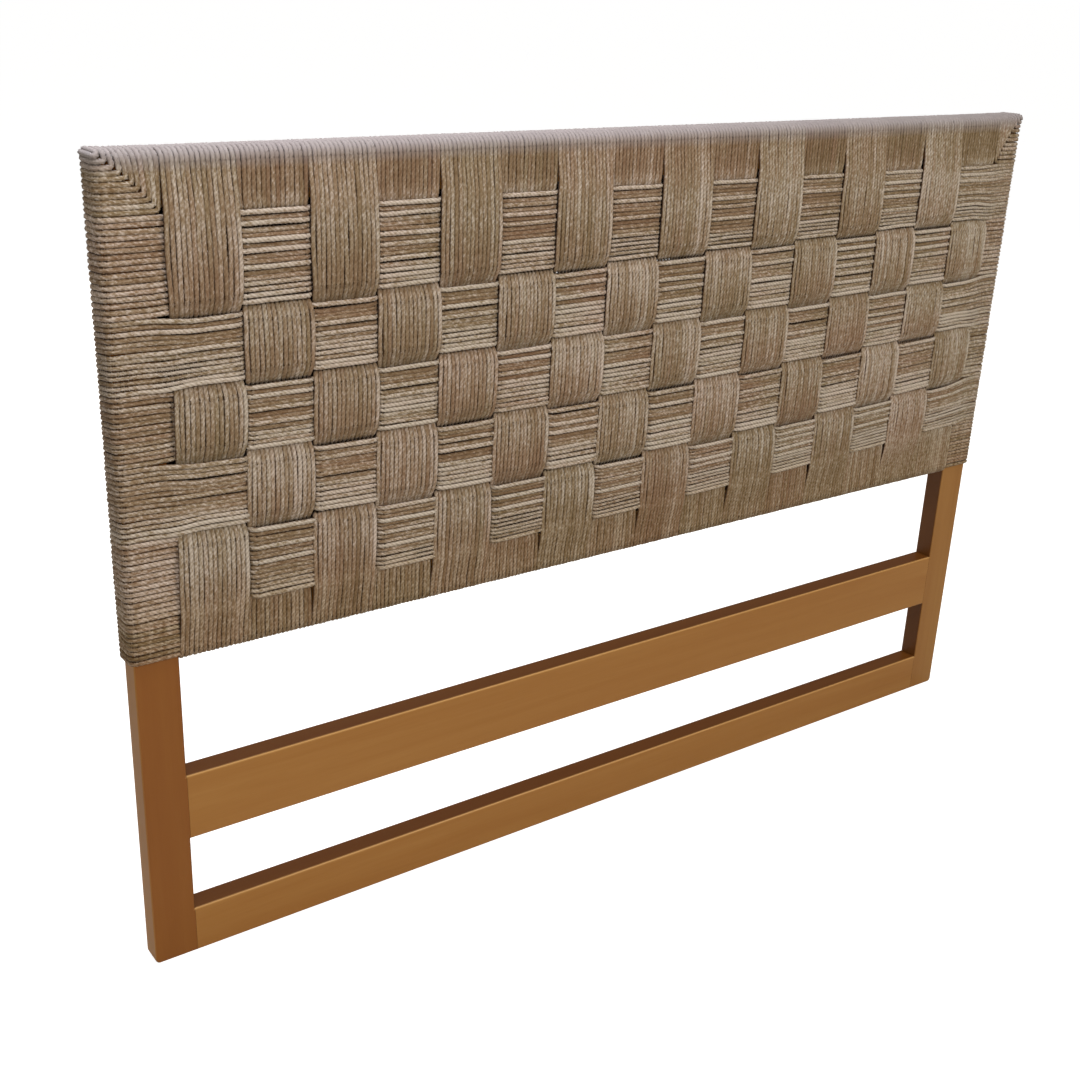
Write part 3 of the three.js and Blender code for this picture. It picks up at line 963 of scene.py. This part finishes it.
def windTail(name, sign):
    chance = np.random.default_rng(tail["seed"] + sign)
    outer = sign * cordSide
    edge = weave["bands"] if sign > 0 else 0
    radii = (0, cordArris, cordArris, 0)
    faces = [(0, -1, 0), (sign, 0, 0), (0, 1, 0)]
    high = lineHeight(rowCount, sign * postInner) - cord["radius"]
    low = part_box(name + "_lower_wrap")[0].z + cord["radius"] + tail["raised"]
    cords = []
    turns = np.linspace(high, low, round((high - low) / tail["spacing"]) + 1)
    for turn, z in enumerate(turns):
        z = z + chance.normal(0, tail["jitter"])
        inner = sideAt(edge, z) + sign * tail["inset"]
        slack = max(0, turn + 1 + tail["slackTurns"] - len(turns))
        drop = tail["slackDrop"] * slack / tail["slackTurns"]
        corners = [(inner, -cordDepth, z), (outer, -cordDepth, z - drop), (outer, cordDepth, z)]
        corners.append((inner + weave["backAside"], cordDepth, z))
        route, outward = roundRoute(corners, faces, radii, False)
        route, outward = evenSteps(route, outward, False)
        tone = toneAlong(chance, 1, lengthsAlong(route))[0]
        cords.append(plyCord(route, outward, tone, chance))
    makeCordPiece(name + "_lower_cord", cords, weftJute, [name + "_lower_wrap"])


windTail("left", -1)
windTail("right", 1)
print("corner and lower turns wound")

# Hardwood under a satin varnish: brown, with long faint grain, glossier than bare wood but no mirror
woodLook = {
    "early": "#b07e3f",
    "late": "#a97537",
    "arrisHighlight": "#cf9d5c",  # painted highlight on the front upper arrises
    "arrisWay": (0, -0.707, 0.707),  # the way that those face
    "edge": "#937f66",  # painted shade: tint of the edges that face an opening, which are darker
    "grainWidth": 12,  # mm
    "grainLength": 240,  # mm
    "poreWidth": 0.9,  # mm
    "poreLength": 22,  # mm
    "poreDepth": 0.1,  # mm
}


def makeHardwood(name, look, grainAxis, stain, edgeWay, front):
    hardwood = newMaterial(name)
    place = addNode(hardwood, "ShaderNodeTexCoord")
    # grain and pores, long along the board
    noises = []
    for width, length, detail in (("grainWidth", "grainLength", 5.0), ("poreWidth", "poreLength", 2.0)):
        scale = [1 / (look[width] * mm)] * 3
        scale[grainAxis] = 1 / (look[length] * mm)
        places = addNode(
            hardwood,
            "ShaderNodeMapping",
            {"Scale": scale},
            {"Vector": place.outputs["Object"]},
        )
        noises.append(
            addNode(
                hardwood,
                "ShaderNodeTexNoise",
                {"Scale": 0.5, "Detail": detail, "Roughness": 0.55, "Distortion": 0.6},
                {"Vector": places.outputs["Vector"]},
            )
        )
    grain, pores = noises
    bands = addNode(
        hardwood,
        "ShaderNodeMapRange",
        {"From Min": 0.35, "From Max": 0.65},
        {"Value": grain.outputs["Fac"]},
    )
    ground = addNode(
        hardwood,
        "ShaderNodeMix",
        {"data_type": "RGBA", 6: colour(look["late"]), 7: colour(look["early"])},
        {0: bands.outputs[0]},
    )
    streaks = addNode(
        hardwood,
        "ShaderNodeMapRange",
        {"From Min": 0.28, "From Max": 0.5, "To Min": 0.96, "To Max": 1.0},
        {"Value": pores.outputs["Fac"]},
    )
    streaked = addNode(
        hardwood,
        "ShaderNodeMix",
        {"data_type": "RGBA", "blend_type": "MULTIPLY", 0: 1.0},
        {6: ground.outputs[2], 7: streaks.outputs[0]},
    )
    stained = addNode(
        hardwood,
        "ShaderNodeMix",
        {"data_type": "RGBA", "blend_type": "MULTIPLY", 0: 1.0, 7: colour(stain)},
        {6: streaked.outputs[2]},
    )
    # tints by the way a face looks: painted shade on edges at an opening and on the front, and a painted
    # highlight on the upper arris
    way = addNode(hardwood, "ShaderNodeNewGeometry")
    facing = addNode(
        hardwood,
        "ShaderNodeVectorMath",
        {"operation": "DOT_PRODUCT", 1: edgeWay},
        {0: way.outputs["Normal"]},
    )
    onEdge = addNode(
        hardwood,
        "ShaderNodeMapRange",
        {"From Min": 0.5, "From Max": 0.95},
        {"Value": facing.outputs["Value"]},
    )
    edged = addNode(
        hardwood,
        "ShaderNodeMix",
        {"data_type": "RGBA", "blend_type": "MULTIPLY", 7: colour(look["edge"])},
        {0: onEdge.outputs[0], 6: stained.outputs[2]},
    )
    # painted shade on the front, darkest on the left post
    ahead = addNode(
        hardwood,
        "ShaderNodeVectorMath",
        {"operation": "DOT_PRODUCT", 1: (0, -1, 0)},
        {0: way.outputs["Normal"]},
    )
    onFront = addNode(
        hardwood,
        "ShaderNodeMapRange",
        {"From Min": 0.5, "From Max": 0.95},
        {"Value": ahead.outputs["Value"]},
    )
    fronted = addNode(
        hardwood,
        "ShaderNodeMix",
        {"data_type": "RGBA", "blend_type": "MULTIPLY", 7: colour(front)},
        {0: onFront.outputs[0], 6: edged.outputs[2]},
    )
    # painted highlight on the front upper arris
    arris = addNode(
        hardwood,
        "ShaderNodeVectorMath",
        {"operation": "DOT_PRODUCT", 1: look["arrisWay"]},
        {0: way.outputs["Normal"]},
    )
    onArris = addNode(
        hardwood,
        "ShaderNodeMapRange",
        {"From Min": 0.8, "From Max": 0.97},
        {"Value": arris.outputs["Value"]},
    )
    arrisHighlight = addNode(
        hardwood,
        "ShaderNodeMix",
        {"data_type": "RGBA", 7: colour(look["arrisHighlight"])},
        {0: onArris.outputs[0], 6: fronted.outputs[2]},
    )
    bump = addNode(
        hardwood,
        "ShaderNodeBump",
        {"Strength": 0.25, "Distance": look["poreDepth"] * mm},
        {"Height": pores.outputs["Fac"]},
    )
    surface = addNode(
        hardwood,
        "ShaderNodeBsdfPrincipled",
        {"Roughness": 0.42, "Specular IOR Level": 0.3, "Coat Weight": 0.06, "Coat Roughness": 0.2},
        {"Base Color": arrisHighlight.outputs[2], "Normal": bump.outputs[0]},
    )
    addNode(hardwood, "ShaderNodeOutputMaterial", links={"Surface": surface.outputs[0]})
    return hardwood


# Each board of the frame: the axis its grain runs along, its stain, the way its inner edge faces,
# which gets painted shade, and the tint of its front, painted shade that is darkest on the left post
boards = {
    "left_post": (2, "#fdf6dc", (1, 0, 0), "#dac5b4"),
    "right_post": (2, "#ffffff", (-1, 0, 0), "#f6f3ef"),
    "bottom_rail": (0, "#fffaf4", (0, 0, 1), "#ffffff"),
    "mid_rail": (0, "#fffaf4", (0, 0, 1), "#ffffff"),
    "weave_rail": (0, "#f2e6da", (0, 0, 1), "#ffffff"),
    "top_rail": (0, "#f2e6da", (0, 0, -1), "#ffffff"),
}
for node, settings in boards.items():
    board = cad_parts[node].data
    board.materials.clear()
    board.materials.append(makeHardwood("varnished_" + node, woodLook, *settings))
print("frame varnished")

# Pale floor and even light
studio = {
    "floor": "#c8c5c1",
    "floorSize": 400,  # m, so that its far edge is out of sight
    "glow": 0.92,  # what the floor adds for the camera alone, so that it meets the sky without a line
    "glowColour": "#ffffff",
    "sky": "#ffffff",
    "skyLight": 0.14,
}


def layFloor(spec):
    half = spec["floorSize"] / 2
    mesh = bpy.data.meshes.new("floor")
    corners = [(-half, -half, 0), (half, -half, 0), (half, half, 0), (-half, half, 0)]
    mesh.from_pydata(corners, [], [(0, 1, 2, 3)])
    floor = bpy.data.objects.new("floor", mesh)
    bpy.context.scene.collection.objects.link(floor)
    paint = newMaterial("matt_floor")
    path = addNode(paint, "ShaderNodeLightPath")
    glow = addNode(
        paint,
        "ShaderNodeMath",
        {"operation": "MULTIPLY", 1: spec["glow"]},
        {0: path.outputs["Is Camera Ray"]},
    )
    surface = addNode(
        paint,
        "ShaderNodeBsdfPrincipled",
        {
            "Base Color": colour(spec["floor"]),
            "Roughness": 1.0,
            "Specular IOR Level": 0.0,
            "Emission Color": colour(spec["glowColour"]),
        },
        {"Emission Strength": glow.outputs[0]},
    )
    addNode(paint, "ShaderNodeOutputMaterial", links={"Surface": surface.outputs[0]})
    mesh.materials.append(paint)


# Places, aims and sizes in m, power in W
lamps = {
    "overhead": {
        "place": (-0.7, 0.05, 2.4),
        "aim": (-0.4, 0, 0.6),
        "size": (2.0, 0.3),
        "power": 31,
        "tint": "#f1f4ff",
    },
    "key": {
        "place": (1.6, -3.3, 2.9),
        "aim": (-0.1, 0, 0.6),
        "size": (1.2, 1.2),
        "power": 68,
        "tint": "#fffaf4",
    },
    "fill": {
        "place": (-3.2, -2.9, 1.6),
        "aim": (0, 0, 0.6),
        "size": (1.8, 1.6),
        "power": 43,
        "tint": "#fffaf4",
    },
    "rear": {
        "place": (0.8, 3.6, 2.0),
        "aim": (0, 0, 0.6),
        "size": (2.4, 1.6),
        "power": 95,
        "tint": "#fffaf4",
        "glossy": False,  # no glare on the upper edges of the rails
    },
}


def addLamp(name, spec):
    lamp = bpy.data.lights.new(name, "AREA")
    lamp.shape = "RECTANGLE"
    lamp.size, lamp.size_y = spec["size"]
    lamp.energy = spec["power"]
    lamp.color = colour(spec["tint"])[:3]
    holder = bpy.data.objects.new(name, lamp)
    bpy.context.scene.collection.objects.link(holder)
    sight = Vector(spec["aim"]) - Vector(spec["place"])
    turned = sight.to_track_quat("-Z", "Y").to_matrix().to_4x4()
    holder.matrix_world = Matrix.Translation(spec["place"]) @ turned
    holder.visible_glossy = spec.get("glossy", True)


def lightWorld(spec):
    world = bpy.data.worlds.new("studio")
    world.use_nodes = True
    world.node_tree.nodes.clear()
    path = addNode(world, "ShaderNodeLightPath")
    strength = addNode(
        world,
        "ShaderNodeMapRange",
        {"To Min": spec["skyLight"], "To Max": 1.0},
        {"Value": path.outputs["Is Camera Ray"]},
    )
    sky = addNode(
        world,
        "ShaderNodeBackground",
        {"Color": colour(spec["sky"])},
        {"Strength": strength.outputs[0]},
    )
    addNode(world, "ShaderNodeOutputWorld", links={"Surface": sky.outputs[0]})
    bpy.context.scene.world = world


layFloor(studio)
lightWorld(studio)
for name, spec in lamps.items():
    addLamp(name, spec)
bpy.context.scene.view_settings.view_transform = "Standard"
print("stage lit")
